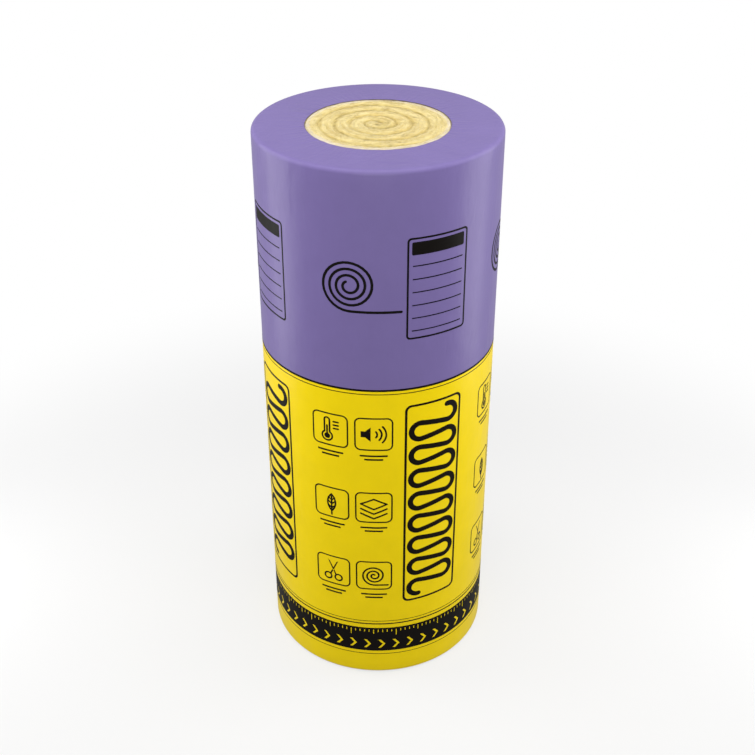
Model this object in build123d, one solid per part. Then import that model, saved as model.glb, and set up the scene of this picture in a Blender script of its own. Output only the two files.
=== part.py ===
from build123d import *
import os

# A standing roll of glass wool blanket in a printed plastic film sleeve.
# Millimetres, +Z up, origin at the centre of the face that the roll stands on.

# The blanket, rolled up tight with no core
blanket_width = 1200.0
wool_diameter = 484.2
turn_pitch = 30.3
seam_radius = 7.0
seam_depth = 2.6
eye_radius = 10.0
eye_depth = 4.0

# The film sleeve, folded in over both ends
film_thickness = 0.4
film_corner_radius = 9.0
opening_diameter = 280.0

# The wool swells into each opening until it is flush with the film's face
opening_clearance = 0.5


wool_radius = wool_diameter / 2
roll_radius = wool_radius + film_thickness
roll_height = blanket_width + 2 * film_thickness
opening_radius = opening_diameter / 2
wool_corner_radius = film_corner_radius - film_thickness
plug_radius = opening_radius - opening_clearance


def barrel_outline(radius, low, high, corner):
    """Outer side of a barrel in the XZ plane: foot, rounded corner, wall, rounded corner."""
    foot = (radius - corner, low)
    wall_low = (radius, low + corner)
    wall_high = (radius, high - corner)
    head = (radius - corner, high)
    return [
        TangentArc(foot, wall_low, tangent=(1, 0)),
        Line(wall_low, wall_high),
        TangentArc(wall_high, head, tangent=(0, 1)),
    ]


def turned(edges):
    """Solid of revolution about Z from a closed outline drawn in X and Z."""
    outline = Plane.XZ * make_face(Curve() + edges)
    return revolve(outline, Axis.Z)


def film_sleeve():
    """One thin skin: the wall and a flat ring at each end, around a round opening."""
    low = film_thickness
    high = roll_height - film_thickness
    outer = barrel_outline(roll_radius, 0, roll_height, film_corner_radius)
    inner = barrel_outline(wool_radius, low, high, wool_corner_radius)
    ring = roll_radius - film_corner_radius
    rims = [
        Line((opening_radius, 0), (ring, 0)),
        Line((ring, roll_height), (opening_radius, roll_height)),
        Line((opening_radius, roll_height), (opening_radius, high)),
        Line((opening_radius, high), (ring, high)),
        Line((ring, low), (opening_radius, low)),
        Line((opening_radius, low), (opening_radius, 0)),
    ]
    return turned(outer + inner + rims)


def seam_half_turns():
    """Centre and radius of each half turn of the seam, a spiral drawn as half circles
    about two centres, so that each one runs on from the last."""
    outermost = wool_radius - wool_corner_radius - seam_radius
    centre = -turn_pitch / 4
    radius = turn_pitch / 2
    while abs(centre) + radius < outermost:
        yield centre, radius
        centre = -centre
        radius += turn_pitch / 2


def seam_groove(face, outward):
    """The groove that the turns leave between them on an end face at height face."""
    level = face + outward * (seam_radius - seam_depth)
    side = 1
    groove = []
    for centre, radius in seam_half_turns():
        section = Plane.XZ * Pos(centre + radius, level) * Circle(seam_radius)
        axis = Axis((centre, 0, 0), (0, 0, side))
        groove.append(revolve(section, axis, 180))
        side = -side
    return groove


def rolled_blanket():
    """The rolled wool as one turned solid, its turns shown by a spiral seam on its ends."""
    low = film_thickness
    high = roll_height - film_thickness
    ring = wool_radius - wool_corner_radius
    edges = barrel_outline(wool_radius, low, high, wool_corner_radius) + [
        Line((0, 0), (plug_radius, 0)),
        Line((plug_radius, 0), (plug_radius, low)),
        Line((plug_radius, low), (ring, low)),
        Line((ring, high), (plug_radius, high)),
        Line((plug_radius, high), (plug_radius, roll_height)),
        Line((plug_radius, roll_height), (0, roll_height)),
        Line((0, roll_height), (0, 0)),
    ]
    wool = turned(edges)
    eye_ball = (eye_radius**2 + eye_depth**2) / (2 * eye_depth)
    for face, outward in ((0, -1), (roll_height, 1)):
        wool -= seam_groove(face, outward)
        wool -= Pos(0, 0, face + outward * (eye_ball - eye_depth)) * Sphere(eye_ball)
    return wool


os.makedirs("parts", exist_ok=True)
for name, shape in (("wool_roll", rolled_blanket()), ("film_sleeve", film_sleeve())):
    shape.label = name
    export_step(shape, f"parts/{name}.step")
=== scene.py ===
import bpy
import math
import random
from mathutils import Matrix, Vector, noise
from mathutils.geometry import delaunay_2d_cdt


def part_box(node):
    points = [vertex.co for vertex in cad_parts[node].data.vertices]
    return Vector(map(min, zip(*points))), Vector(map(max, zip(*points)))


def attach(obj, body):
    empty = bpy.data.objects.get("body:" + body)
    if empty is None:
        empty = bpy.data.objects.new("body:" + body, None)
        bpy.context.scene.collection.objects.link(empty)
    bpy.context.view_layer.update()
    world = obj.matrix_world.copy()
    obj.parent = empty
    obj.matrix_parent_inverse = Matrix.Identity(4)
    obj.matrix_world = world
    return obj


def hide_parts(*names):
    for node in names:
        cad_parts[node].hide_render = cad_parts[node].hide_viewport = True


# A roll of glass wool blanket that stands on its end in a printed film sleeve.
# Metres, +Z up, and the camera looks along +Y. The printed drawings are in millimetres.

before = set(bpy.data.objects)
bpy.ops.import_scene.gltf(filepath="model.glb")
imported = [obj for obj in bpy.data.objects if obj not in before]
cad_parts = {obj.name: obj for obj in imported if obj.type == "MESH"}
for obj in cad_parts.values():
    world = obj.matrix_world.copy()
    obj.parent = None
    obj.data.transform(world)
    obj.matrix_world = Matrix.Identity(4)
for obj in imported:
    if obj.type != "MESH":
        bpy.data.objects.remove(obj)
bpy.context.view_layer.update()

mm = 0.001
filmLow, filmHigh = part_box("film_sleeve")
rollRadius = (filmHigh.x - filmLow.x) / 2
rollHeight = filmHigh.z - filmLow.z
girth = 2 * math.pi * rollRadius
print(f"frame loaded, roll {2 * rollRadius:.4f} m across and {rollHeight:.4f} m tall")


def linear(hexColour):
    # sRGB hex to the linear colour that a shader takes
    channels = [int(hexColour[i:i + 2], 16) / 255 for i in (1, 3, 5)]
    return [c / 12.92 if c <= 0.04045 else ((c + 0.055) / 1.055) ** 2.4 for c in channels] + [1]


def feed(tree, node, sockets):
    # A socket gets a plain value, another socket, or a node, which stands for its first output
    for name, source in sockets.items():
        if isinstance(source, bpy.types.Node):
            source = source.outputs[0]
        if isinstance(source, bpy.types.NodeSocket):
            tree.links.new(source, node.inputs[name])
        else:
            node.inputs[name].default_value = source


def addNode(tree, kind, sockets={}, **settings):
    # settings are the node's own properties, such as operation
    node = tree.nodes.new("ShaderNode" + kind)
    for name, value in settings.items():
        setattr(node, name, value)
    feed(tree, node, sockets)
    return node


def newMaterial(name):
    # Also gives its nodes, its shader, and a point's place on the object
    material = bpy.data.materials.new(name)
    material.use_nodes = True
    tree = material.node_tree
    place = addNode(tree, "TexCoord").outputs["Object"]
    return material, tree, tree.nodes["Principled BSDF"], place


def smoothStep(low, high, value):
    share = min(1, max(0, (value - low) / (high - low)))
    return share * share * (3 - 2 * share)


def lumps(x, y, size, level):
    # Smooth noise with lumps about size across; level moves through its third direction
    return noise.noise(Vector((x / size, y / size, level)))


def waves(x, y, along, table, start=0, end=1):
    # Adds up lumps drawn out along a third way, each row with its width, length, strength and shift
    return sum((strength * lumps(x, y, width, along / length + shift * end)
                for width, length, strength, shift in table), start)


def addObject(name, data):
    thing = bpy.data.objects.new(name, data)
    bpy.context.scene.collection.objects.link(thing)
    return thing


def addPiece(name, mesh, material):
    piece = addObject(name, mesh)
    mesh.materials.append(material)
    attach(piece, "root")
    print(f"{name}: {len(mesh.polygons)} faces")
    return piece


def turnedMesh(name, rings, poles, mapCorner):
    # Rings of points from the top middle outwards and down. With poles, a point closes each end,
    # and without them the last ring joins the first. mapCorner gives each corner's place on the map.
    columns = len(rings[0])
    last = len(rings) - 1
    points = [point for ring in rings for point in ring]
    corners = []
    for i in range(last if poles else last + 1):
        for j in range(columns):
            corners.append([(i, j), (i + 1, j), (i + 1, j + 1), (i, j + 1)])
    if poles:
        points += poles
        for j in range(columns):
            corners.append([("top", j), (0, j), (0, j + 1)])
            corners.append([(last, j), ("foot", j), (last, j + 1)])

    def number(ring, column):
        if ring == "top":
            return len(points) - 2
        if ring == "foot":
            return len(points) - 1
        return (ring % len(rings)) * columns + column % columns

    mesh = bpy.data.meshes.new(name)
    mesh.from_pydata(points, [], [[number(*corner) for corner in face] for face in corners])
    layer = mesh.uv_layers.new(name="OFBake")
    places = [mapCorner(*corner) for face in corners for corner in face]
    layer.uv.foreach_set("vector", [value for place in places for value in place])
    mesh.shade_smooth()
    return mesh


# The film sleeve: polyethylene tube, printed, drawn over the roll and shrunk on with hot air
film = {
    "thickness": 0.4 * mm,
    "cornerRadius": 9 * mm,
    "openingRadius": 140 * mm,
    "columns": 288,
    "wallRows": 58,
    "endRows": 16,
    "endCrowding": 1.25,        # above 1, an end's rows stand closer near its opening
    "cornerRows": 7,
    "slackWave": 0.14 * mm,     # height of the long slack waves that run up the sleeve
    # The second row of waves is narrower, and pulled almost straight
    "slackWaves": ((93 * mm, 590 * mm, 1, 0), (35 * mm, 1110 * mm, 0.6, 5)),
    "slackInside": 0.5,         # share of that height by which the waves lie inside the roll's radius
    "lapHeight": 0.25 * mm,     # the sleeve's welded lap, up the back
    "lapWidth": 35 * mm,
    "lapStep": 3 * mm,
    "gatherDepth": 0.9 * mm,    # the folded-in ends gather towards the opening
    "gatherWaves": ((12.7 * mm, 167 * mm, 0.7, 3), (35 * mm, 333 * mm, 0.5, 9)),
    "gatherLevel": 0.5,
    "gatherFade": 1.5,          # above 1, they die away sooner
    "gatherStop": 25 * mm,      # the gathers end this far in from the rim
    "edgeWander": 0.7 * mm,     # how far the shrunk edge of the opening strays from a circle
    "edgeWaves": ((28 * mm, 1), (6 * mm, 0.5)),     # size and strength
    "edgeReach": 12 * mm,
    # The lip: distance out from the opening, drop from the end's face, and the way that it faces
    "lip": ((0.2 * mm, 0.7 * mm, -1, 0), (0, 0.3 * mm, -0.7, 0.7),
            (0.6 * mm, 0, 0, 1), (1.6 * mm, 0.1 * mm, 0, 1)),
}


def sleeveSwell(angle, height):
    # How far the film stands off a true cylinder: slack waves, mostly inside it, and the lap's step
    x, y = rollRadius * math.sin(angle), rollRadius * math.cos(angle)
    slack = waves(x, y, height, film["slackWaves"], -film["slackInside"])
    arc = abs(math.remainder(angle - math.pi, 2 * math.pi)) * rollRadius
    lap = 1 - smoothStep(film["lapWidth"] / 2, film["lapWidth"] / 2 + film["lapStep"], arc)
    return film["slackWave"] * slack + film["lapHeight"] * lap


def gather(angle, radius, end):
    # Depth of the radial gathers on an end, deepest at the opening and gone near the rim
    opening = film["openingRadius"]
    x, y = opening * math.sin(angle), opening * math.cos(angle)
    folds = waves(x, y, radius, film["gatherWaves"], film["gatherLevel"], end)
    fade = 1 - smoothStep(opening, rollRadius - film["gatherStop"], radius)
    return film["gatherDepth"] * fade ** film["gatherFade"] * max(0, folds)


def filmProfile():
    # (radius, height, outward share, upward share) from the top's opening to the foot's
    corner = film["cornerRadius"]
    ring = rollRadius - corner
    top = [(film["openingRadius"] + away, rollHeight - drop, out, up)
           for away, drop, out, up in film["lip"]]
    lipRadius = top[-1][0]
    for i in range(film["endRows"]):
        share = ((i + 1) / film["endRows"]) ** film["endCrowding"]
        top.append((lipRadius + (ring - lipRadius) * share, rollHeight, 0, 1))
    for i in range(film["cornerRows"]):
        turn = math.radians(90 * (i + 1) / film["cornerRows"])
        out, up = math.sin(turn), math.cos(turn)
        top.append((ring + corner * out, rollHeight - corner + corner * up, out, up))
    foot = [(r, rollHeight - z, out, -up) for r, z, out, up in reversed(top)]
    wall = []
    for i in range(1, film["wallRows"]):
        share = i / film["wallRows"]
        wall.append((rollRadius, rollHeight - corner - share * (rollHeight - 2 * corner), 1, 0))
    return top + wall + foot


def filmRing(radius, height, out, up, depth):
    # One ring of the skin, set depth below its outer face
    points = []
    end = 1 if height > rollHeight / 2 else -1
    opening = film["openingRadius"]
    wander = film["edgeWander"] * (1 - smoothStep(opening, opening + film["edgeReach"], radius))
    for j in range(film["columns"]):
        angle = 2 * math.pi * j / film["columns"]
        x, y = math.sin(angle), -math.cos(angle)
        stray = sum(strength * lumps(opening * x, -opening * y, size, 20 * end)
                    for size, strength in film["edgeWaves"])
        stand = sleeveSwell(angle, height) * max(0, out) - depth
        r = radius + stand * out + wander * stray
        z = height + stand * up - end * abs(up) * gather(angle, radius, end)
        points.append((r * x, r * y, z))
    return points


def filmMesh():
    profile = filmProfile()
    rings = [filmRing(*row, 0) for row in profile]
    rings += [filmRing(*row, film["thickness"]) for row in reversed(profile)]
    outer = len(profile)

    def mapCorner(ring, column):
        # The outside fills most of the map, and the hidden inside a strip of it
        across = column / film["columns"]
        if ring < outer:
            return across, 1 - 0.9 * ring / outer
        return across, 0.09 - 0.08 * (ring - outer) / outer

    return turnedMesh("filmSkin", rings, [], mapCorner)


filmLook = {
    "violet": "#7A6CA3",
    "yellow": "#FDDE04",
    "borderHeight": 750 * mm,
    "inkMottle": 0.05,          # how much the ink's strength varies from place to place
    "mottleSize": 60 * mm,
    "dieLineSpacing": 4 * mm,   # real ones are under 1 mm apart, drawn coarser to show
    "dieLineSquash": 0.04,      # below 1, a pattern is drawn out up the sleeve
    "creaseSpacing": 14 * mm,
    "creaseSquash": 0.35,
    "creaseDepth": 0.55 * mm,
    "wrinkleSpacing": 46 * mm,  # sharper wrinkles, in patches where the film shrank unevenly
    "wrinkleDepth": 1.3 * mm,
    "wrinklePatch": 240 * mm,
    "wrinkleOnset": (0.42, 0.62),
    "pleatSpacing": 6 * mm,     # fine pleats where the sleeve's end is drawn in round the opening
    "pleatRun": 45 * mm,
    "pleatReach": 75 * mm,
    "pleatDepth": 1.5 * mm,
    "roughness": (0.28, 0.35),  # over the die lines and between them
    "ior": 1.51,
    "gloss": 0.18,              # specular level: the print's binder dulls the film
}


def printedPolyethyleneFilm():
    # Blown polyethylene film, printed in two solid colours: a satin skin with soft, broad highlights,
    # fine lines drawn up it by the die, and slight creases where it shrank
    material, tree, shader, place = newMaterial("printedPolyethyleneFilm")
    height = addNode(tree, "SeparateXYZ", {0: place}).outputs["Z"]
    above = addNode(tree, "Math", {0: height, 1: filmLook["borderHeight"]}, operation="GREATER_THAN")
    inks = addNode(tree, "Mix", {
        0: above, 6: linear(filmLook["yellow"]), 7: linear(filmLook["violet"])},
        data_type="RGBA").outputs[2]
    mottle = addNode(tree, "TexNoise", {
        "Scale": 1 / filmLook["mottleSize"], "Detail": 4, "Roughness": 0.6, "Vector": place})
    strength = addNode(tree, "MapRange", {
        "Value": mottle, "From Min": 0.3, "From Max": 0.7,
        "To Min": 1 - filmLook["inkMottle"], "To Max": 1})
    inked = addNode(tree, "VectorMath", {0: inks, "Scale": strength}, operation="SCALE")

    drawn = addNode(tree, "Mapping", {"Vector": place, "Scale": (1, 1, filmLook["dieLineSquash"])})
    dieLines = addNode(tree, "TexNoise", {
        "Scale": 1 / filmLook["dieLineSpacing"], "Detail": 3, "Roughness": 0.5, "Vector": drawn})
    smooth, rough = filmLook["roughness"]
    satin = addNode(tree, "MapRange", {
        "Value": dieLines, "From Min": 0.3, "From Max": 0.7, "To Min": smooth, "To Max": rough})

    slack = addNode(tree, "Mapping", {"Vector": place, "Scale": (1, 1, filmLook["creaseSquash"])})
    creases = addNode(tree, "TexNoise", {
        "Scale": 1 / filmLook["creaseSpacing"], "Detail": 2, "Roughness": 0.4, "Distortion": 0.6,
        "Vector": slack})
    wrinkles = addNode(tree, "TexNoise", {
        "Scale": 1 / filmLook["wrinkleSpacing"], "Detail": 1.5, "Roughness": 0.4, "Distortion": 0.5,
        "Vector": slack}, noise_type="RIDGED_MULTIFRACTAL")
    uneven = addNode(tree, "TexNoise", {
        "Scale": 1 / filmLook["wrinklePatch"], "Detail": 1, "Vector": place})
    onset, full = filmLook["wrinkleOnset"]
    patch = addNode(tree, "MapRange", {
        "Value": uneven, "From Min": onset, "From Max": full, "To Max": filmLook["wrinkleDepth"]})
    folds = addNode(tree, "Math", {0: wrinkles, 1: patch}, operation="MULTIPLY")
    depth = addNode(tree, "Math", {0: creases, 1: filmLook["creaseDepth"], 2: folds},
                    operation="MULTIPLY_ADD")

    # Pleats run outwards: their pattern is narrow round the roll's axis and long away from it
    level = addNode(tree, "VectorMath", {0: place, 1: (1, 1, 0)}, operation="MULTIPLY")
    reach = addNode(tree, "VectorMath", {0: level}, operation="LENGTH").outputs["Value"]
    outward = addNode(tree, "VectorMath", {0: level}, operation="NORMALIZE")
    run = addNode(tree, "Math", {0: reach, 1: filmLook["pleatRun"]}, operation="DIVIDE")
    onward = addNode(tree, "CombineXYZ", {"Z": run})
    narrow = film["openingRadius"] / filmLook["pleatSpacing"]
    pleatPlace = addNode(tree, "VectorMath", {0: outward, 1: (narrow, narrow, 0), 2: onward},
                         operation="MULTIPLY_ADD")
    pleats = addNode(tree, "TexNoise", {
        "Scale": 1, "Detail": 2, "Roughness": 0.45, "Vector": pleatPlace})
    drawnIn = addNode(tree, "MapRange", {
        "Value": reach, "From Min": film["openingRadius"],
        "From Max": film["openingRadius"] + filmLook["pleatReach"],
        "To Min": filmLook["pleatDepth"], "To Max": 0}, interpolation_type="SMOOTHSTEP")
    allDepth = addNode(tree, "Math", {0: pleats, 1: drawnIn, 2: depth}, operation="MULTIPLY_ADD")
    relief = addNode(tree, "Bump", {"Strength": 1, "Distance": 1, "Height": allDepth})
    feed(tree, shader, {
        "Base Color": inked, "Roughness": satin, "Normal": relief,
        "IOR": filmLook["ior"], "Specular IOR Level": filmLook["gloss"]})
    return material


# The printed ink: flat drawings in millimetres, across and up, wrapped round the sleeve
ink = {
    "repeats": 4,               # the print runs off a cylinder, so it repeats round the roll
    "facing": 6,                # degrees that the first repeat is turned from the front
    "rise": 0.15 * mm,
    "sink": 0.05 * mm,
    "stepLength": 5.0,          # longest edge, so that the ink bends with the film
    "discSteps": 36,
    "cornerSteps": 6,
    "turnSteps": 30,
    "tailSteps": 4,
    "sharpAngle": 40,
    "mergeWithin": 0.01,        # outlines' points that come nearer than this become one
    "weldSteps": 1000000,       # places round the roll that tell two points apart
}
tileWidth = girth / ink["repeats"] / mm


def arcOf(x, y, radius, start, end, steps):
    points = []
    for i in range(steps + 1):
        turn = math.radians(start + (end - start) * i / steps)
        points.append((x + radius * math.cos(turn), y + radius * math.sin(turn)))
    return points


def disc(x, y, radius):
    return arcOf(x, y, radius, 0, 360, ink["discSteps"])[:-1]


def box(x, y, width, height, corner=0.0):
    if not corner:
        return [(x - width / 2, y - height / 2), (x + width / 2, y - height / 2),
                (x + width / 2, y + height / 2), (x - width / 2, y + height / 2)]
    dx, dy = width / 2 - corner, height / 2 - corner
    quarters = ((1, 1, 0), (-1, 1, 90), (-1, -1, 180), (1, -1, 270))
    return [point for sx, sy, start in quarters
            for point in arcOf(x + sx * dx, y + sy * dy, corner, start, start + 90, ink["cornerSteps"])]


def pen(points, width):
    # Outline of one smooth pen stroke with round ends
    left, right = [], []
    for i, (x, y) in enumerate(points):
        x0, y0 = points[max(0, i - 1)]
        x1, y1 = points[min(len(points) - 1, i + 1)]
        way = math.atan2(y1 - y0, x1 - x0)
        dx, dy = math.sin(way) * width / 2, math.cos(way) * width / 2
        left.append((x - dx, y + dy))
        right.append((x + dx, y - dy))
        turn = math.degrees(way)
        if i == 0:
            startCap = arcOf(x, y, width / 2, turn + 90, turn + 270, ink["cornerSteps"])
        if i == len(points) - 1:
            endCap = arcOf(x, y, width / 2, turn - 90, turn + 90, ink["cornerSteps"])
    return right[1:-1] + endCap + left[-2:0:-1] + startCap


def lines(points, width):
    # A cornered line, as one stroke for each straight run
    return [(True, pen([a, b], width)) for a, b in zip(points, points[1:])]


def outlined(outer, inner):
    return [(True, outer), (False, inner)]


def ringOf(x, y, radius, width):
    return outlined(disc(x, y, radius + width / 2), disc(x, y, radius - width / 2))


def placed(drawing, x, y, size=1.0):
    return [(inked, [(x + size * px, y + size * py) for px, py in outline])
            for inked, outline in drawing]


def dense(outline, step):
    # Adds points along the long edges; the tiny number keeps a whole count of steps from rounding up
    points = []
    for (x0, y0), (x1, y1) in zip(outline, outline[1:] + outline[:1]):
        parts = max(1, math.ceil(math.hypot(x1 - x0, y1 - y0) / step - 1e-6))
        points += [(x0 + (x1 - x0) * i / parts, y0 + (y1 - y0) * i / parts) for i in range(parts)]
    return points


def triangulated(drawing, lattice):
    # Later outlines paint over earlier ones, with ink or with bare film
    points, outlines = [], []
    for _, outline in drawing:
        area = sum(x0 * y1 - x1 * y0 for (x0, y0), (x1, y1) in zip(outline, outline[1:] + outline[:1]))
        fine = dense(outline if area > 0 else outline[::-1], ink["stepLength"])
        outlines.append(list(range(len(points), len(points) + len(fine))))
        points += fine
    if lattice:
        low, high = lattice
        across = round(tileWidth / ink["stepLength"])
        up = round((high - low) / ink["stepLength"])
        for i in range(1, across):
            for j in range(1, up):
                points.append((tileWidth * (i / across - 0.5), low + (high - low) * j / up))
    flat, _, triangles, _, _, owners = delaunay_2d_cdt(
        [Vector(p) for p in points], [], outlines, 1, ink["mergeWithin"])
    inked = [triangle for triangle, owner in zip(triangles, owners)
             if owner and drawing[max(owner)][0]]
    return flat, inked


def inkMesh(name, drawing, lattice):
    # The drawing once for each repeat, as a thin closed layer that follows the film. Points that
    # meet where two repeats join get one number. A lattice fills a broad band between two heights.
    flat, triangles = triangulated(drawing, lattice)
    numbers, places, faces = {}, [], []
    for repeat in range(ink["repeats"]):
        start = repeat * tileWidth * mm + math.radians(ink["facing"]) * rollRadius
        index = []
        for x, y in flat:
            share = (start + x * mm) / girth
            key = round(share * ink["weldSteps"]) % ink["weldSteps"], round(y, 2)
            if key not in numbers:
                numbers[key] = len(places)
                places.append((share * 2 * math.pi, y * mm))
            index.append(numbers[key])
        for a, b, c in triangles:
            face = index[a], index[b], index[c]
            if len(set(face)) == 3:
                faces.append(face)
    points = []
    for stand in (ink["rise"], -ink["sink"]):
        for angle, height in places:
            r = rollRadius + sleeveSwell(angle, height) + stand
            points.append((r * math.sin(angle), -r * math.cos(angle), height))
    count = len(places)
    edges = {(a, b) for face in faces for a, b in zip(face, face[1:] + face[:1])}
    walls = [(b, a, a + count, b + count) for a, b in sorted(edges) if (b, a) not in edges]
    under = [(c + count, b + count, a + count) for a, b, c in faces]
    mesh = bpy.data.meshes.new(name)
    mesh.from_pydata(points, [], faces + under + walls)
    mesh.validate()
    mesh.shade_smooth()
    mesh.set_sharp_from_angle(angle=math.radians(ink["sharpAngle"]))
    return mesh


border = {"height": 750, "line": 4.6, "thinLine": 1.8, "gap": 6.5}


def borderDrawing():
    # A thick and a thin line where the two colours meet
    low = border["height"] - border["line"] / 2 - border["gap"]
    return [(True, box(0, border["height"], tileWidth, border["line"])),
            (True, box(0, low, tileWidth, border["thinLine"]))]


foot = {
    "bandLow": 66, "bandHigh": 134,
    "linesAbove": ((146, 3.0), (154, 1.4)),
    "linesBelow": ((57, 1.4),),
    "ticks": 38,                # about one to each centimetre round the roll
    "tickLengths": (17, 12, 7),  # at the tens, the fives and the rest
    "tickWidth": 1.8, "tickDrop": 5,
    "chevrons": 12, "chevronRise": 21,
    "chevron": ((-9, 12), (-3, 12), (7, 0), (-3, -12), (-9, -12), (1, 0)),
}


def footDrawing():
    # A black band with a measuring scale and a row of chevrons left bare in it
    low, high = foot["bandLow"], foot["bandHigh"]
    drawing = [(True, box(0, (low + high) / 2, tileWidth, high - low))]
    for height, width in foot["linesAbove"] + foot["linesBelow"]:
        drawing.append((True, box(0, height, tileWidth, width)))
    ten, five, one = foot["tickLengths"]
    pitch = tileWidth / foot["ticks"]
    for i in range(foot["ticks"]):
        length = ten if i % 10 == 0 else five if i % 5 == 0 else one
        x = (i + 0.5) * pitch - tileWidth / 2
        drawing.append((False, box(x, high - foot["tickDrop"] - length / 2, foot["tickWidth"], length)))
    pitch = tileWidth / foot["chevrons"]
    for i in range(foot["chevrons"]):
        x = (i + 0.5) * pitch - tileWidth / 2
        drawing += placed([(False, foot["chevron"])], x, low + foot["chevronRise"])
    return drawing


batt = {
    "x": 92, "low": 205, "high": 712, "width": 128, "frame": 5,
    "corner": 14, "innerCorner": 10,
    "reach": 31, "loopRadius": 19, "climb": 29, "stroke": 12, "loopSteps": 22,
}


def battDrawing():
    # The looped line that stands for batt insulation on a drawing, in a frame
    middle = (batt["low"] + batt["high"]) / 2
    tall = batt["high"] - batt["low"]
    inside = batt["width"] - 2 * batt["frame"], tall - 2 * batt["frame"]
    drawing = outlined(box(batt["x"], middle, batt["width"], tall, batt["corner"]),
                       box(batt["x"], middle, *inside, batt["innerCorner"]))
    radius, reach, climb = batt["loopRadius"], batt["reach"], batt["climb"]
    between = math.hypot(2 * reach, climb)
    leave = math.pi - math.atan2(climb, 2 * reach) - math.acos(2 * radius / between)
    loops = math.floor((tall - 2 * (radius + batt["stroke"])) / climb) + 1
    start = middle - (loops - 1) * climb / 2
    bend = math.degrees(leave)
    for i in range(loops):
        side = 1 if i % 2 else -1
        y = start + i * climb
        loop = arcOf(0, 0, radius, -bend, bend, batt["loopSteps"])
        loop = [(batt["x"] + side * (reach + px), y + py) for px, py in loop]
        drawing.append((True, pen(loop, batt["stroke"])))
        if i + 1 < loops:
            offset = reach + radius * math.cos(leave)
            lift = radius * math.sin(leave)
            a = batt["x"] + side * offset, y + lift
            b = batt["x"] - side * offset, y + climb - lift
            drawing.append((True, pen([a, b], batt["stroke"])))
    return drawing


def thermometer(w):
    drawing = [(True, pen([(-6, -16), (-6, 22)], 15)), (True, disc(-6, -16, 13))]
    drawing += [(False, pen([(-6, -16), (-6, 22)], 15 - 2 * w)), (False, disc(-6, -16, 13 - w))]
    drawing += [(True, disc(-6, -16, 6.5)), (True, pen([(-6, -16), (-6, 8)], 4))]
    for y in (20, 12, 4):
        drawing.append((True, pen([(8, y), (18, y)], w)))
    return drawing


def soundWaves(w):
    drawing = [(True, [(-26, -7), (-17, -7), (-6, -17), (-6, 17), (-17, 7), (-26, 7)])]
    for radius in (10, 19, 28):
        drawing.append((True, pen(arcOf(-3, 0, radius, -42, 42, 16), w)))
    return drawing


def leaf(w):
    # Two arcs that meet at the tip and the stalk, with a midrib and side veins
    blade = arcOf(-16, 0, 32, -48, 48, 18) + arcOf(26.8, 0, 32, 132, 228, 18)[1:-1]
    inner = arcOf(-16, 0, 32 - w, -44.5, 44.5, 18) + arcOf(26.8, 0, 32 - w, 135.5, 224.5, 18)[1:-1]
    drawing = outlined(blade, inner)
    drawing.append((True, pen([(5.4, -31), (5.4, 16)], w)))
    for y in (-14, -4, 6):
        drawing.append((True, pen([(5.4, y), (12.5, y + 7)], w * 0.8)))
        drawing.append((True, pen([(5.4, y), (-1.7, y + 7)], w * 0.8)))
    return placed(drawing, -5.4, 0)


def layers(w):
    # Three stacked sheets, the lower two half hidden
    drawing = []
    for y in (-15, -3):
        drawing += lines([(-27, y), (0, y - 13), (27, y)], w)
    drawing += lines([(-27, 9), (0, -4), (27, 9), (0, 22), (-27, 9)], w)
    return drawing


def shears(w):
    drawing = []
    for side in (-1, 1):
        drawing += ringOf(side * 12, -18, 8, w)
    for side in (-1, 1):
        blade = [(side * 8, -11), (side * 4.5, -11.5), (-side * 12, 27), (-side * 8, 24)]
        drawing.append((True, blade))
    drawing.append((False, disc(0, 0.5, 1.6)))
    return drawing


def spiralRoll(w, turns=2.6, gap=9.0, radius=26.0, tail=30.0):
    # A blanket seen end on, running off to the right
    points = [(tail * (1 - i / ink["tailSteps"]), -radius) for i in range(ink["tailSteps"])]
    steps = round(turns * ink["turnSteps"])
    for i in range(steps + 1):
        turn = -math.pi / 2 - 2 * math.pi * turns * i / steps
        r = radius - gap * turns * i / steps
        points.append((r * math.cos(turn), r * math.sin(turn)))
    return [(True, pen(points, w))]


pictograms = {
    "columns": (-124, -34), "rows": (648, 466, 284),
    "frame": 78, "corner": 13, "frameLine": 3.2, "glyphLine": 3.8,
    "barDrop": 52, "bars": ((56, 0), (38, 9)), "barHeight": 4,
}


def pictogramDrawing():
    # Framed pictograms for warmth, quiet, nature, layers, cutting and unrolling, over plain bars
    glyphs = (thermometer, soundWaves, leaf, layers, shears, spiralRoll)
    size, line, corner = pictograms["frame"], pictograms["frameLine"], pictograms["corner"]
    drawing = []
    for i, glyph in enumerate(glyphs):
        x = pictograms["columns"][i % 2]
        y = pictograms["rows"][i // 2]
        drawing += outlined(box(x, y, size, size, corner),
                            box(x, y, size - 2 * line, size - 2 * line, corner - line))
        drawing += placed(glyph(pictograms["glyphLine"]), x, y)
        for width, drop in pictograms["bars"]:
            level = y - pictograms["barDrop"] - drop
            drawing.append((True, box(x, level, width, pictograms["barHeight"])))
    return drawing


panel = {
    "x": 92, "y": 965, "width": 128, "height": 210, "line": 3.8,
    "corner": 8, "innerCorner": 5, "headHeight": 26, "headMargin": 9, "headCorner": 3,
    "rules": 6, "ruleLine": 2.4, "ruleMargin": 11, "lowRule": 18, "highRule": 22,
    "rollX": -80, "rollY": 975, "rollSize": 2.05,
    "rollLine": 2.6, "rollTurns": 3.4, "rollGap": 6.3, "rollTail": 48.0,
}


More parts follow.
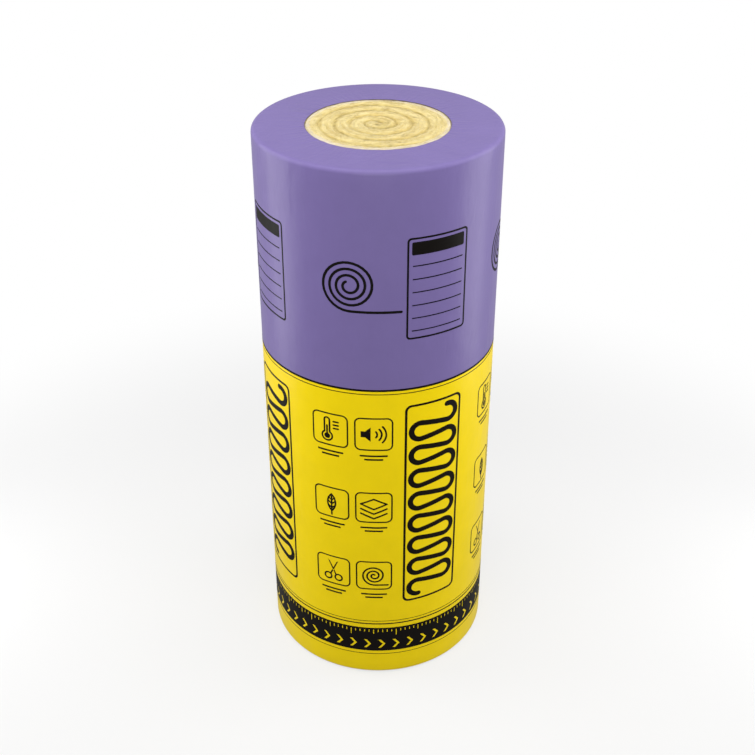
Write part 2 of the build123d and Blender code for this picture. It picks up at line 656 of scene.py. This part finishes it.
def panelDrawing():
    # An empty data panel with ruled lines, and a large roll beside it
    x, y, width, height, line = (panel[key] for key in ("x", "y", "width", "height", "line"))
    drawing = outlined(box(x, y, width, height, panel["corner"]),
                       box(x, y, width - 2 * line, height - 2 * line, panel["innerCorner"]))
    margin, headHeight = panel["headMargin"], panel["headHeight"]
    head = y + height / 2 - headHeight / 2 - margin
    drawing.append((True, box(x, head, width - 2 * margin, headHeight, panel["headCorner"])))
    low = y - height / 2 + panel["lowRule"]
    high = head - headHeight / 2 - panel["highRule"]
    for i in range(panel["rules"]):
        level = low + (high - low) * i / (panel["rules"] - 1)
        drawing.append((True, box(x, level, width - 2 * panel["ruleMargin"], panel["ruleLine"])))
    roll = spiralRoll(panel["rollLine"], panel["rollTurns"], panel["rollGap"], tail=panel["rollTail"])
    return drawing + placed(roll, panel["rollX"], panel["rollY"], panel["rollSize"])


inkLook = {
    "black": "#080504",
    "lean": "#120E0A",
    "patchSize": 9 * mm,
    "roughness": (0.40, 0.53),
    "ior": 1.5,
    "gloss": 0.09,
}


def flexographicInk():
    # Flexographic ink, rolled on from a rubber plate: a thin even black, duller where it is lean
    material, tree, shader, place = newMaterial("flexographicInk")
    lean = addNode(tree, "TexNoise", {
        "Scale": 1 / inkLook["patchSize"], "Detail": 5, "Roughness": 0.65, "Vector": place})
    shade = addNode(tree, "Mix", {0: lean, 6: linear(inkLook["black"]), 7: linear(inkLook["lean"])},
                    data_type="RGBA").outputs[2]
    full, thin = inkLook["roughness"]
    dull = addNode(tree, "MapRange", {"Value": lean, "To Min": full, "To Max": thin})
    feed(tree, shader, {"Base Color": shade, "Roughness": dull,
                        "IOR": inkLook["ior"], "Specular IOR Level": inkLook["gloss"]})
    return material


# The glass wool blanket: fine glass fibres laid flat in layers, then rolled up tight
wool = {
    "turnPitch": 30.3 * mm,
    "columns": 288,
    "endRings": 106,
    "endRadius": 138.1 * mm,
    "seamDepth": 2.6 * mm,
    "seamWidth": 2.2 * mm,
    "seamCut": 0.75,            # share of that depth in the seam itself, the rest in the pressed wool
    "seamShade": 6.4 * mm,      # the wool dips for this far on both sides of a seam, and is painted darker there as shade
    "seamStart": (2 * mm, 9 * mm),      # where the seam fades in, from the blanket's tucked-in end
    "seamStop": (118 * mm, 129 * mm),   # and where it fades out, near the film
    "shutPatch": 29 * mm,       # the seam is shut tighter in some places
    "shutCore": (15 * mm, 50 * mm),     # and towards the middle
    "shutLevel": (0.6, 0.5, 0.25),      # how tight it is overall, by place, and towards the middle
    "foldWidth": 3.6 * mm,      # a fainter groove runs halfway between two seams, painted darker as shade
    "foldLevel": 0.6,
    "foldDepth": 0.6 * mm,
    "foldPatch": 56 * mm,
    "turnCrown": 0.9 * mm,
    "layerRelief": 0.5 * mm,
    "layers": ((42 * mm, 4.3 * mm, 1, 3), (25 * mm, 2.4 * mm, 0.7, 3)),
    "tuftRelief": 0.8 * mm,
    "tufts": ((14.3 * mm, 1, 6), (5.3 * mm, 0.6, 1)),   # size, strength and shift
    "patchSize": 83 * mm,       # broad patches of paler wool
    # The eye, the hollow at the spiral's middle, is a shallow dip painted dark as shade
    "eyePlace": (-1.5 * mm, -7 * mm),
    "eyeDepth": 1.2 * mm,
    "eyeRadius": 5 * mm,
    "rimWidth": 7.25 * mm,      # a pale band where the outer turn meets the film, painted highlight along the wool's rounded edge
    "rimBlur": 2.25 * mm,
    "rimRagged": (1.6 * mm, 2 * mm),    # how far tufts and broad patches move that band's edge
    "rimUneven": 5 * mm,        # how much broader that band is at the front and back
    "rimRise": 0.3 * mm,
    "shoulder": 16 * mm,
    "shoulderCalm": 0.5,        # share of the relief that is lost there
    "pathWander": 2.4 * mm,     # how far a turn strays from a true spiral
    "wanderSize": 45 * mm,
    "spiralShift": (0, 4 * mm),  # the turns aren't quite centred in the opening
    "coreShift": (-3.5 * mm, 2 * mm),   # and lean another way towards the middle
    "coreReach": 110 * mm,
    "sink": 1.5 * mm,           # the rim's level below the film's face
    "dome": 0.2 * mm,           # the wool swells towards the middle
    "footGap": 0.9 * mm,        # the foot's level above the floor
    "leastGap": 0.3 * mm,
    "underFilm": 2.4 * mm,      # how far the hidden wool lies behind the film's face
    "tucked": ((139 * mm, 4.5 * mm), (141.5 * mm, 5 * mm)),     # radius and depth, in below the lip
    "flatRing": (147 * mm, 190 * mm),
}

paleness = {                    # what each thing does to the tone: 0 deep, painted shade, 1 crown, 2 the rim's painted highlight
    "level": 0.92, "layer": 0.32, "patch": 0.25, "tuft": 0.12, "outwards": 0.16,
    "pressed": -0.34, "shut": -0.4, "seam": -0.14, "fold": -0.42, "eye": -1.1,
    "rimHighlight": 1.65, "rimHighlightTuft": 0.3, "hidden": 0.6,
}


def spiralPhase(x, y):
    # Share of a turn out from the seam, which is drawn as half circles about two centres
    side = 1 if y >= 0 else -1
    out = math.hypot(x + side * wool["turnPitch"] / 4, y) / wool["turnPitch"]
    return (out - 0.5 if y >= 0 else out) % 1


def woolRelief(x, y, end):
    # Height of the cut end above its level, and its tone
    reach = math.hypot(x, y)
    seed = 3 * end
    inner = 1 - smoothStep(0, wool["coreReach"], reach)
    shiftX = wool["spiralShift"][0] + wool["coreShift"][0] * inner
    shiftY = wool["spiralShift"][1] + wool["coreShift"][1] * inner
    px = x - shiftX + wool["pathWander"] * lumps(x, y, wool["wanderSize"], 4 + seed)
    py = y - shiftY + wool["pathWander"] * lumps(x, y, wool["wanderSize"], 9 + seed)
    phase = spiralPhase(px, py)
    fromSeam = wool["turnPitch"] * min(phase, 1 - phase)
    fromFold = wool["turnPitch"] / 2 - fromSeam
    fromStart = math.hypot(px - wool["turnPitch"] / 4, py)
    shown = smoothStep(*wool["seamStart"], fromStart) * (1 - smoothStep(*wool["seamStop"], reach))
    seam = shown * math.exp(-(fromSeam / wool["seamWidth"]) ** 2)
    pressed = shown * math.exp(-(fromSeam / wool["seamShade"]) ** 2)
    overall, byPlace, byCore = wool["shutLevel"]
    shut = overall + byPlace * lumps(x, y, wool["shutPatch"], 2 + seed)
    shut += byCore * (1 - smoothStep(*wool["shutCore"], reach))
    fold = math.exp(-(fromFold / wool["foldWidth"]) ** 2)
    fold *= max(0, wool["foldLevel"] + lumps(x, y, wool["foldPatch"], 14 + seed))
    crown = -math.cos(2 * math.pi * phase)
    layer = waves(x, y, reach, wool["layers"], end=end)
    patch = lumps(x, y, wool["patchSize"], 17 + seed)
    tuft = sum(strength * lumps(x, y, size, shift + seed) for size, strength, shift in wool["tufts"])
    eyeX, eyeY = wool["eyePlace"]
    eye = math.exp(-(math.hypot(x - eyeX, y - eyeY) / wool["eyeRadius"]) ** 2)
    outwards = reach / wool["endRadius"]

    height = wool["turnCrown"] * crown + wool["layerRelief"] * layer + wool["tuftRelief"] * tuft
    cut = wool["seamCut"]
    height -= wool["seamDepth"] * (cut * seam * shut + (1 - cut) * pressed)
    height -= wool["eyeDepth"] * eye + wool["foldDepth"] * fold
    shoulder = smoothStep(wool["endRadius"] - wool["shoulder"], wool["endRadius"], reach)
    height = height * (1 - wool["shoulderCalm"] * shoulder) + wool["rimRise"] * shoulder
    height += wool["dome"] * (1 - outwards ** 2)

    # The seams, the troughs beside them, the folds and the eye darken the tone as painted shade
    shares = {"level": 1, "layer": layer, "patch": patch, "tuft": tuft, "outwards": outwards,
              "pressed": pressed, "shut": pressed * shut, "seam": seam * shut, "fold": fold, "eye": eye}
    pale = min(1, max(0, sum(paleness[name] * share for name, share in shares.items())))
    # The pale band round the rim is a painted highlight along the wool's rounded edge
    byTuft, byPatch = wool["rimRagged"]
    ragged = byTuft * tuft + byPatch * patch + wool["rimUneven"] * (y / wool["endRadius"]) ** 2
    rimStart = wool["endRadius"] - wool["rimWidth"]
    rim = smoothStep(rimStart - wool["rimBlur"], rimStart + wool["rimBlur"], reach + ragged)
    return height, pale + rim * (paleness["rimHighlight"] + paleness["rimHighlightTuft"] * tuft - pale)


def woolHeight(x, y, end):
    # The end face's height in the room, and its tone; at the foot nothing reaches below the floor
    height, pale = woolRelief(x, y, end)
    if end > 0:
        return rollHeight - wool["sink"] + height, pale
    return max(wool["leastGap"], wool["footGap"] - height), pale


def woolMesh():
    steps = wool["endRings"]
    around = [2 * math.pi * j / wool["columns"] for j in range(wool["columns"])]
    sides = [(math.sin(angle), -math.cos(angle)) for angle in around]
    cutEnds, tones = {}, {}
    for end in (1, -1):
        cutEnds[end], tones[end] = [], []
        for i in range(1, steps + 1):
            r = wool["endRadius"] * i / steps
            found = [woolHeight(r * dx, r * dy, end) for dx, dy in sides]
            cutEnds[end].append([(r * dx, r * dy, z) for (dx, dy), (z, _) in zip(sides, found)])
            tones[end].append([tone for _, tone in found])
    # Under the film the blanket is plain: in below the lip, out to the corner and down the side
    hidden = wool["underFilm"]
    corner = film["cornerRadius"]
    sleeve = rollRadius - hidden
    hiddenRows = list(wool["tucked"]) + [(r, hidden) for r in wool["flatRing"]]
    for turn in (0, math.pi / 4, math.pi / 2):
        inwards, down = corner * (1 - math.sin(turn)), corner * (1 - math.cos(turn))
        hiddenRows.append((sleeve - inwards, hidden + down))
    middle = [(r, rollHeight - z) for r, z in hiddenRows]
    middle += [(sleeve, rollHeight * share) for share in (0.75, 0.5, 0.25)]
    middle += [(r, z) for r, z in reversed(hiddenRows)]
    plain = [[(r * dx, r * dy, z) for dx, dy in sides] for r, z in middle]
    rings = cutEnds[1] + plain + cutEnds[-1][::-1]
    centres = [woolHeight(0, 0, end) for end in (1, -1)]
    poles = [(0, 0, z) for z, _ in centres]

    def mapCorner(ring, column):
        # Each cut end has a disc of the map, and the hidden side the right half
        angle = 2 * math.pi * column / wool["columns"]
        if ring in ("top", "foot"):
            return 0.25, 0.75 if ring == "top" else 0.25
        if ring < steps or ring >= len(rings) - steps:
            isTop = ring < steps
            reach = 0.24 * (ring + 1 if isTop else len(rings) - ring) / steps
            return 0.25 + reach * math.sin(angle), (0.75 if isTop else 0.25) - reach * math.cos(angle)
        return 0.52 + 0.46 * column / wool["columns"], 0.98 - 0.96 * (ring - steps) / len(plain)

    mesh = turnedMesh("woolBlanket", rings, poles, mapCorner)
    hiddenTones = [[paleness["hidden"]] * wool["columns"]] * len(plain)
    ringTones = tones[1] + hiddenTones + tones[-1][::-1] + [[tone for _, tone in centres]]
    layer = mesh.attributes.new("pale", "FLOAT", "POINT")
    layer.data.foreach_set("value", [tone for ring in ringTones for tone in ring])
    return mesh


woolLook = {
    "deepShade": "#A18A4B",          # painted shade down in the seams
    "body": "#D7C27A",
    "crown": "#E9D89C",         # where the cut fibres catch the light
    "rimHighlight": "#DED1B9",          # the rim's painted highlight
    "resin": "#D0AF59",         # patches that took more of the binder
    "resinPatch": 70 * mm,
    "resinShare": 0.7,
    "strandAcross": 1.6 * mm,   # fibres are 5 microns thick, so this is the bundles that they lie in
    "strandAlong": 14 * mm,
    "streaks": 0.30,            # how much those bundles vary in tone
    "fuzzSize": 1.1 * mm,
    "fuzz": 0.09,
    "toBody": (-0.05, 0.5),     # tones over which each colour gives way to the next
    "toCrown": (0.5, 1.1),
    "toRimHighlight": (1.2, 1.7),
    "relief": 1.1 * mm,
    "roughness": 0.92,
    "ior": 1.5,
    "gloss": 0.2,
    "sheen": 0.15,
    "sheenRoughness": 0.5,
}


def glassWool():
    # Cut edge of resin-bonded glass wool: matt and fibrous, straw yellow, with painted shade between
    # the turns and a painted highlight on the rim
    material, tree, shader, place = newMaterial("resinBondedGlassWool")
    flat = addNode(tree, "VectorMath", {0: place, 1: (1, 1, 0)}, operation="MULTIPLY")
    reach = addNode(tree, "VectorMath", {0: flat}, operation="LENGTH").outputs["Value"]
    # Distance from the middle, drawn out, makes a pattern that runs round with the turns
    drawnOut = woolLook["strandAlong"] / woolLook["strandAcross"]
    ringStep = addNode(tree, "Math", {0: reach, 1: drawnOut}, operation="MULTIPLY")
    rise = addNode(tree, "CombineXYZ", {"Z": ringStep})
    strandPlace = addNode(tree, "VectorMath", {0: place, 1: rise}, operation="ADD")
    strands = addNode(tree, "TexNoise", {
        "Scale": 1 / woolLook["strandAlong"], "Detail": 5, "Roughness": 0.62, "Distortion": 0.4,
        "Vector": strandPlace})
    fuzz = addNode(tree, "TexNoise", {
        "Scale": 1 / woolLook["fuzzSize"], "Detail": 3, "Roughness": 0.7, "Vector": place})
    tone = addNode(tree, "Attribute", attribute_name="pale").outputs["Fac"]
    for pattern, amount in ((strands, woolLook["streaks"]), (fuzz, woolLook["fuzz"])):
        spread = addNode(tree, "MapRange", {
            "Value": pattern, "From Min": 0.3, "From Max": 0.7, "To Min": -amount, "To Max": amount})
        tone = addNode(tree, "Math", {0: tone, 1: spread}, operation="ADD")

    patches = addNode(tree, "TexNoise", {
        "Scale": 1 / woolLook["resinPatch"], "Detail": 3, "Roughness": 0.55, "Vector": place})
    resin = addNode(tree, "MapRange", {
        "Value": patches, "From Min": 0.45, "From Max": 0.8, "To Max": woolLook["resinShare"]})
    body = addNode(tree, "Mix", {0: resin, 6: linear(woolLook["body"]), 7: linear(woolLook["resin"])},
                   data_type="RGBA").outputs[2]
    shade = linear(woolLook["deepShade"])
    for tones, colour in (("toBody", body), ("toCrown", linear(woolLook["crown"])),
                          ("toRimHighlight", linear(woolLook["rimHighlight"]))):
        low, high = woolLook[tones]
        share = addNode(tree, "MapRange", {"Value": tone, "From Min": low, "From Max": high})
        shade = addNode(tree, "Mix", {0: share, 6: shade, 7: colour}, data_type="RGBA").outputs[2]
    relief = addNode(tree, "Bump", {"Strength": 0.7, "Distance": woolLook["relief"], "Height": tone})
    feed(tree, shader, {
        "Base Color": shade, "Normal": relief, "Roughness": woolLook["roughness"],
        "IOR": woolLook["ior"], "Specular IOR Level": woolLook["gloss"],
        "Sheen Weight": woolLook["sheen"], "Sheen Roughness": woolLook["sheenRoughness"]})
    return material


fibres = {
    "count": 2900,              # on each end, of the many thousand that a cut end shows
    "length": (8 * mm, 26 * mm),
    "radius": 0.11 * mm,        # bundles of fibres; single ones are too fine to see
    "radiusSpread": (0.7, 1.3),
    "lift": 1.7 * mm,
    "liftBias": 2.2,            # above 1, most fibres lie flat
    "turnSpread": 0.45,         # how far their headings stray from the turns', in radians
    "curl": 18,                 # and how they bend, in radians a metre
    "tightestTurn": 8 * mm,
    "clear": 0.1 * mm,          # a fibre's ends clear the wool by this much
    "footGap": 0.2 * mm,
    "inset": 0.5 * mm,
    "overhang": 1.5 * mm,
    "steps": 5,
    "sides": 3,
    "seed": 7,
}


def fibreMesh():
    # Loose fibres on both cut ends, each a thin closed tube that follows its turn
    draw = random.Random(fibres["seed"])
    points, faces = [], []
    for end in (1, -1):
        for _ in range(fibres["count"]):
            r = (wool["endRadius"] - fibres["inset"]) * math.sqrt(draw.random())
            angle = draw.uniform(0, 2 * math.pi)
            heading = angle + math.pi / 2 + draw.gauss(0, fibres["turnSpread"])
            step = draw.uniform(*fibres["length"]) / fibres["steps"]
            lift = fibres["lift"] * draw.random() ** fibres["liftBias"]
            bend = draw.gauss(0, fibres["curl"]) + 1 / max(r, fibres["tightestTurn"])
            x, y = r * math.sin(angle), -r * math.cos(angle)
            path = []
            for i in range(fibres["steps"] + 1):
                z, _ = woolHeight(x, y, end)
                z += end * (fibres["clear"] + lift * math.sin(math.pi * i / fibres["steps"]))
                path.append(Vector((x, y, max(z, fibres["footGap"]))))
                heading += bend * step
                nextX, nextY = x + math.sin(heading) * step, y - math.cos(heading) * step
                if math.hypot(nextX, nextY) > wool["endRadius"] + fibres["overhang"]:
                    break
                x, y = nextX, nextY
            if len(path) < 3:
                continue
            addTube(points, faces, path, fibres["radius"] * draw.uniform(*fibres["radiusSpread"]))
    mesh = bpy.data.meshes.new("woolFibres")
    mesh.from_pydata(points, [], faces)
    mesh.shade_smooth()
    return mesh


def addTube(points, faces, path, radius):
    sides = fibres["sides"]
    start = len(points)
    for i, place in enumerate(path):
        way = (path[min(i + 1, len(path) - 1)] - path[max(i - 1, 0)]).normalized()
        across = way.cross(Vector((0, 0, 1))).normalized()
        up = across.cross(way)
        for j in range(sides):
            turn = 2 * math.pi * j / sides
            points.append(place + radius * (math.cos(turn) * across + math.sin(turn) * up))
    for i in range(len(path) - 1):
        for j in range(sides):
            a, b = start + i * sides + j, start + i * sides + (j + 1) % sides
            faces.append((b, a, a + sides, b + sides))
    faces.append([start + j for j in range(sides)])
    faces.append([start + (len(path) - 1) * sides + j for j in reversed(range(sides))])


fibreLook = {
    "pale": "#DDD2A5",
    "straw": "#C1A968",
    "resinPatch": 6 * mm,
    "roughness": 0.55,
    "ior": 1.52,
}


def glassFibre():
    # Drawn glass fibre with a little resin on it: pale straw, with a soft glint along it
    material, tree, shader, place = newMaterial("drawnGlassFibre")
    patches = addNode(tree, "TexNoise", {
        "Scale": 1 / fibreLook["resinPatch"], "Detail": 2, "Vector": place})
    resin = addNode(tree, "MapRange", {"Value": patches, "From Min": 0.35, "From Max": 0.65})
    shade = addNode(tree, "Mix", {
        0: resin, 6: linear(fibreLook["pale"]), 7: linear(fibreLook["straw"])},
        data_type="RGBA").outputs[2]
    feed(tree, shader, {"Base Color": shade, "Roughness": fibreLook["roughness"],
                        "IOR": fibreLook["ior"]})
    return material


# The studio: a pale floor, big soft lamps at both sides, overhead and in front, and the camera
studio = {
    "ambient": 0.40,
    "floorSize": 40,
    "floorColour": "#808080",   # what the floor gives back to the roll
    "floorRoughness": 0.9,
    "floorGloss": 0.1,
    "floorGlow": 0.66,          # lifts the floor to the white background, and leaves its shadow
    "floorFade": (0.7, 1.7),    # distances between which the floor turns into the plain background
    "lamps": {
        "leftLamp": {"place": (-1.0, 0.02, 0.95), "size": (0.62, 1.85), "power": 9.5},
        "rightLamp": {"place": (1.0, 0.02, 0.95), "size": (0.62, 1.85), "power": 9.5},
        "topLamp": {"place": (0.0, -0.6, 3.1), "size": (2.6, 2.6), "power": 46},
        "frontLamp": {"place": (0.0, -2.1, 1.25), "size": (1.4, 0.9), "power": 15.8},
    },
    "aim": (0, 0, 0.6),
    "cameraDistance": 2.1994,
    "cameraHeight": 1.9868,
    "cameraPitch": 31.642,
    "lens": 57.21,
    "shiftX": -0.00066,
}


def paleFloor():
    # Matt floor paint, rolled on: no gloss, so that it shows only the roll's soft shadow
    material, tree, shader, place = newMaterial("mattPaintedFloor")
    seen = addNode(tree, "LightPath").outputs["Is Camera Ray"]
    glow = addNode(tree, "Math", {0: seen, 1: studio["floorGlow"]}, operation="MULTIPLY")
    feed(tree, shader, {
        "Base Color": linear(studio["floorColour"]), "Roughness": studio["floorRoughness"],
        "Specular IOR Level": studio["floorGloss"],
        "Emission Color": (1, 1, 1, 1), "Emission Strength": glow})
    away = addNode(tree, "VectorMath", {0: place}, operation="LENGTH").outputs["Value"]
    near, far = studio["floorFade"]
    fade = addNode(tree, "MapRange", {"Value": away, "From Min": near, "From Max": far},
                   interpolation_type="SMOOTHSTEP")
    share = addNode(tree, "Math", {0: seen, 1: fade}, operation="MULTIPLY")
    plain = addNode(tree, "Emission", {"Color": (1, 1, 1, 1), "Strength": 1})
    mixed = addNode(tree, "MixShader", {0: share, 1: shader, 2: plain})
    feed(tree, tree.nodes["Material Output"], {"Surface": mixed})
    return material


def addStudio():
    scene = bpy.context.scene
    scene.view_settings.view_transform = "Standard"
    size = studio["floorSize"]
    mesh = bpy.data.meshes.new("floor")
    mesh.from_pydata([(x, y, 0) for x, y in box(0, 0, size, size)], [], [(0, 1, 2, 3)])
    floor = addObject("floor", mesh)
    mesh.materials.append(paleFloor())
    floor.visible_glossy = False
    for name, lamp in studio["lamps"].items():
        light = bpy.data.lights.new(name, "AREA")
        light.shape = "RECTANGLE"
        light.size, light.size_y = lamp["size"]
        light.energy = lamp["power"]
        holder = addObject(name, light)
        holder.location = lamp["place"]
        aim = Vector(studio["aim"]) - holder.location
        holder.rotation_euler = aim.to_track_quat("-Z", "Y").to_euler()
        holder.visible_camera = False
    world = bpy.data.worlds.new("studioAir")
    scene.world = world
    world.use_nodes = True
    tree = world.node_tree
    fill = tree.nodes["Background"]
    feed(tree, fill, {"Color": (1, 1, 1, 1), "Strength": studio["ambient"]})
    backdrop = addNode(tree, "Background", {"Color": (1, 1, 1, 1), "Strength": 1})
    seen = addNode(tree, "LightPath").outputs["Is Camera Ray"]
    mixed = addNode(tree, "MixShader", {0: seen, 1: fill, 2: backdrop})
    feed(tree, tree.nodes["World Output"], {"Surface": mixed})


def addCamera():
    camera = addObject("camera", bpy.data.cameras.new("camera"))
    camera.location = (0, -studio["cameraDistance"], studio["cameraHeight"])
    camera.rotation_euler = (math.radians(90 - studio["cameraPitch"]), 0, 0)
    camera.data.sensor_width = 36
    camera.data.lens = studio["lens"]
    camera.data.shift_x = studio["shiftX"]
    bpy.context.scene.camera = camera


filmPiece = addPiece("filmSkin", filmMesh(), printedPolyethyleneFilm())
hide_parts("film_sleeve")
woolPiece = addPiece("woolBlanket", woolMesh(), glassWool())
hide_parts("wool_roll")
addPiece("woolFibres", fibreMesh(), glassFibre())

blackInk = flexographicInk()
prints = {
    "printBorder": borderDrawing(), "printFootBand": footDrawing(), "printBattSign": battDrawing(),
    "printPictograms": pictogramDrawing(), "printPanel": panelDrawing(),
}
lattices = {"printFootBand": (foot["bandLow"], foot["bandHigh"])}
for name, drawing in prints.items():
    addPiece(name, inkMesh(name, drawing, lattices.get(name)), blackInk)

addStudio()
addCamera()
print("studio and camera set")
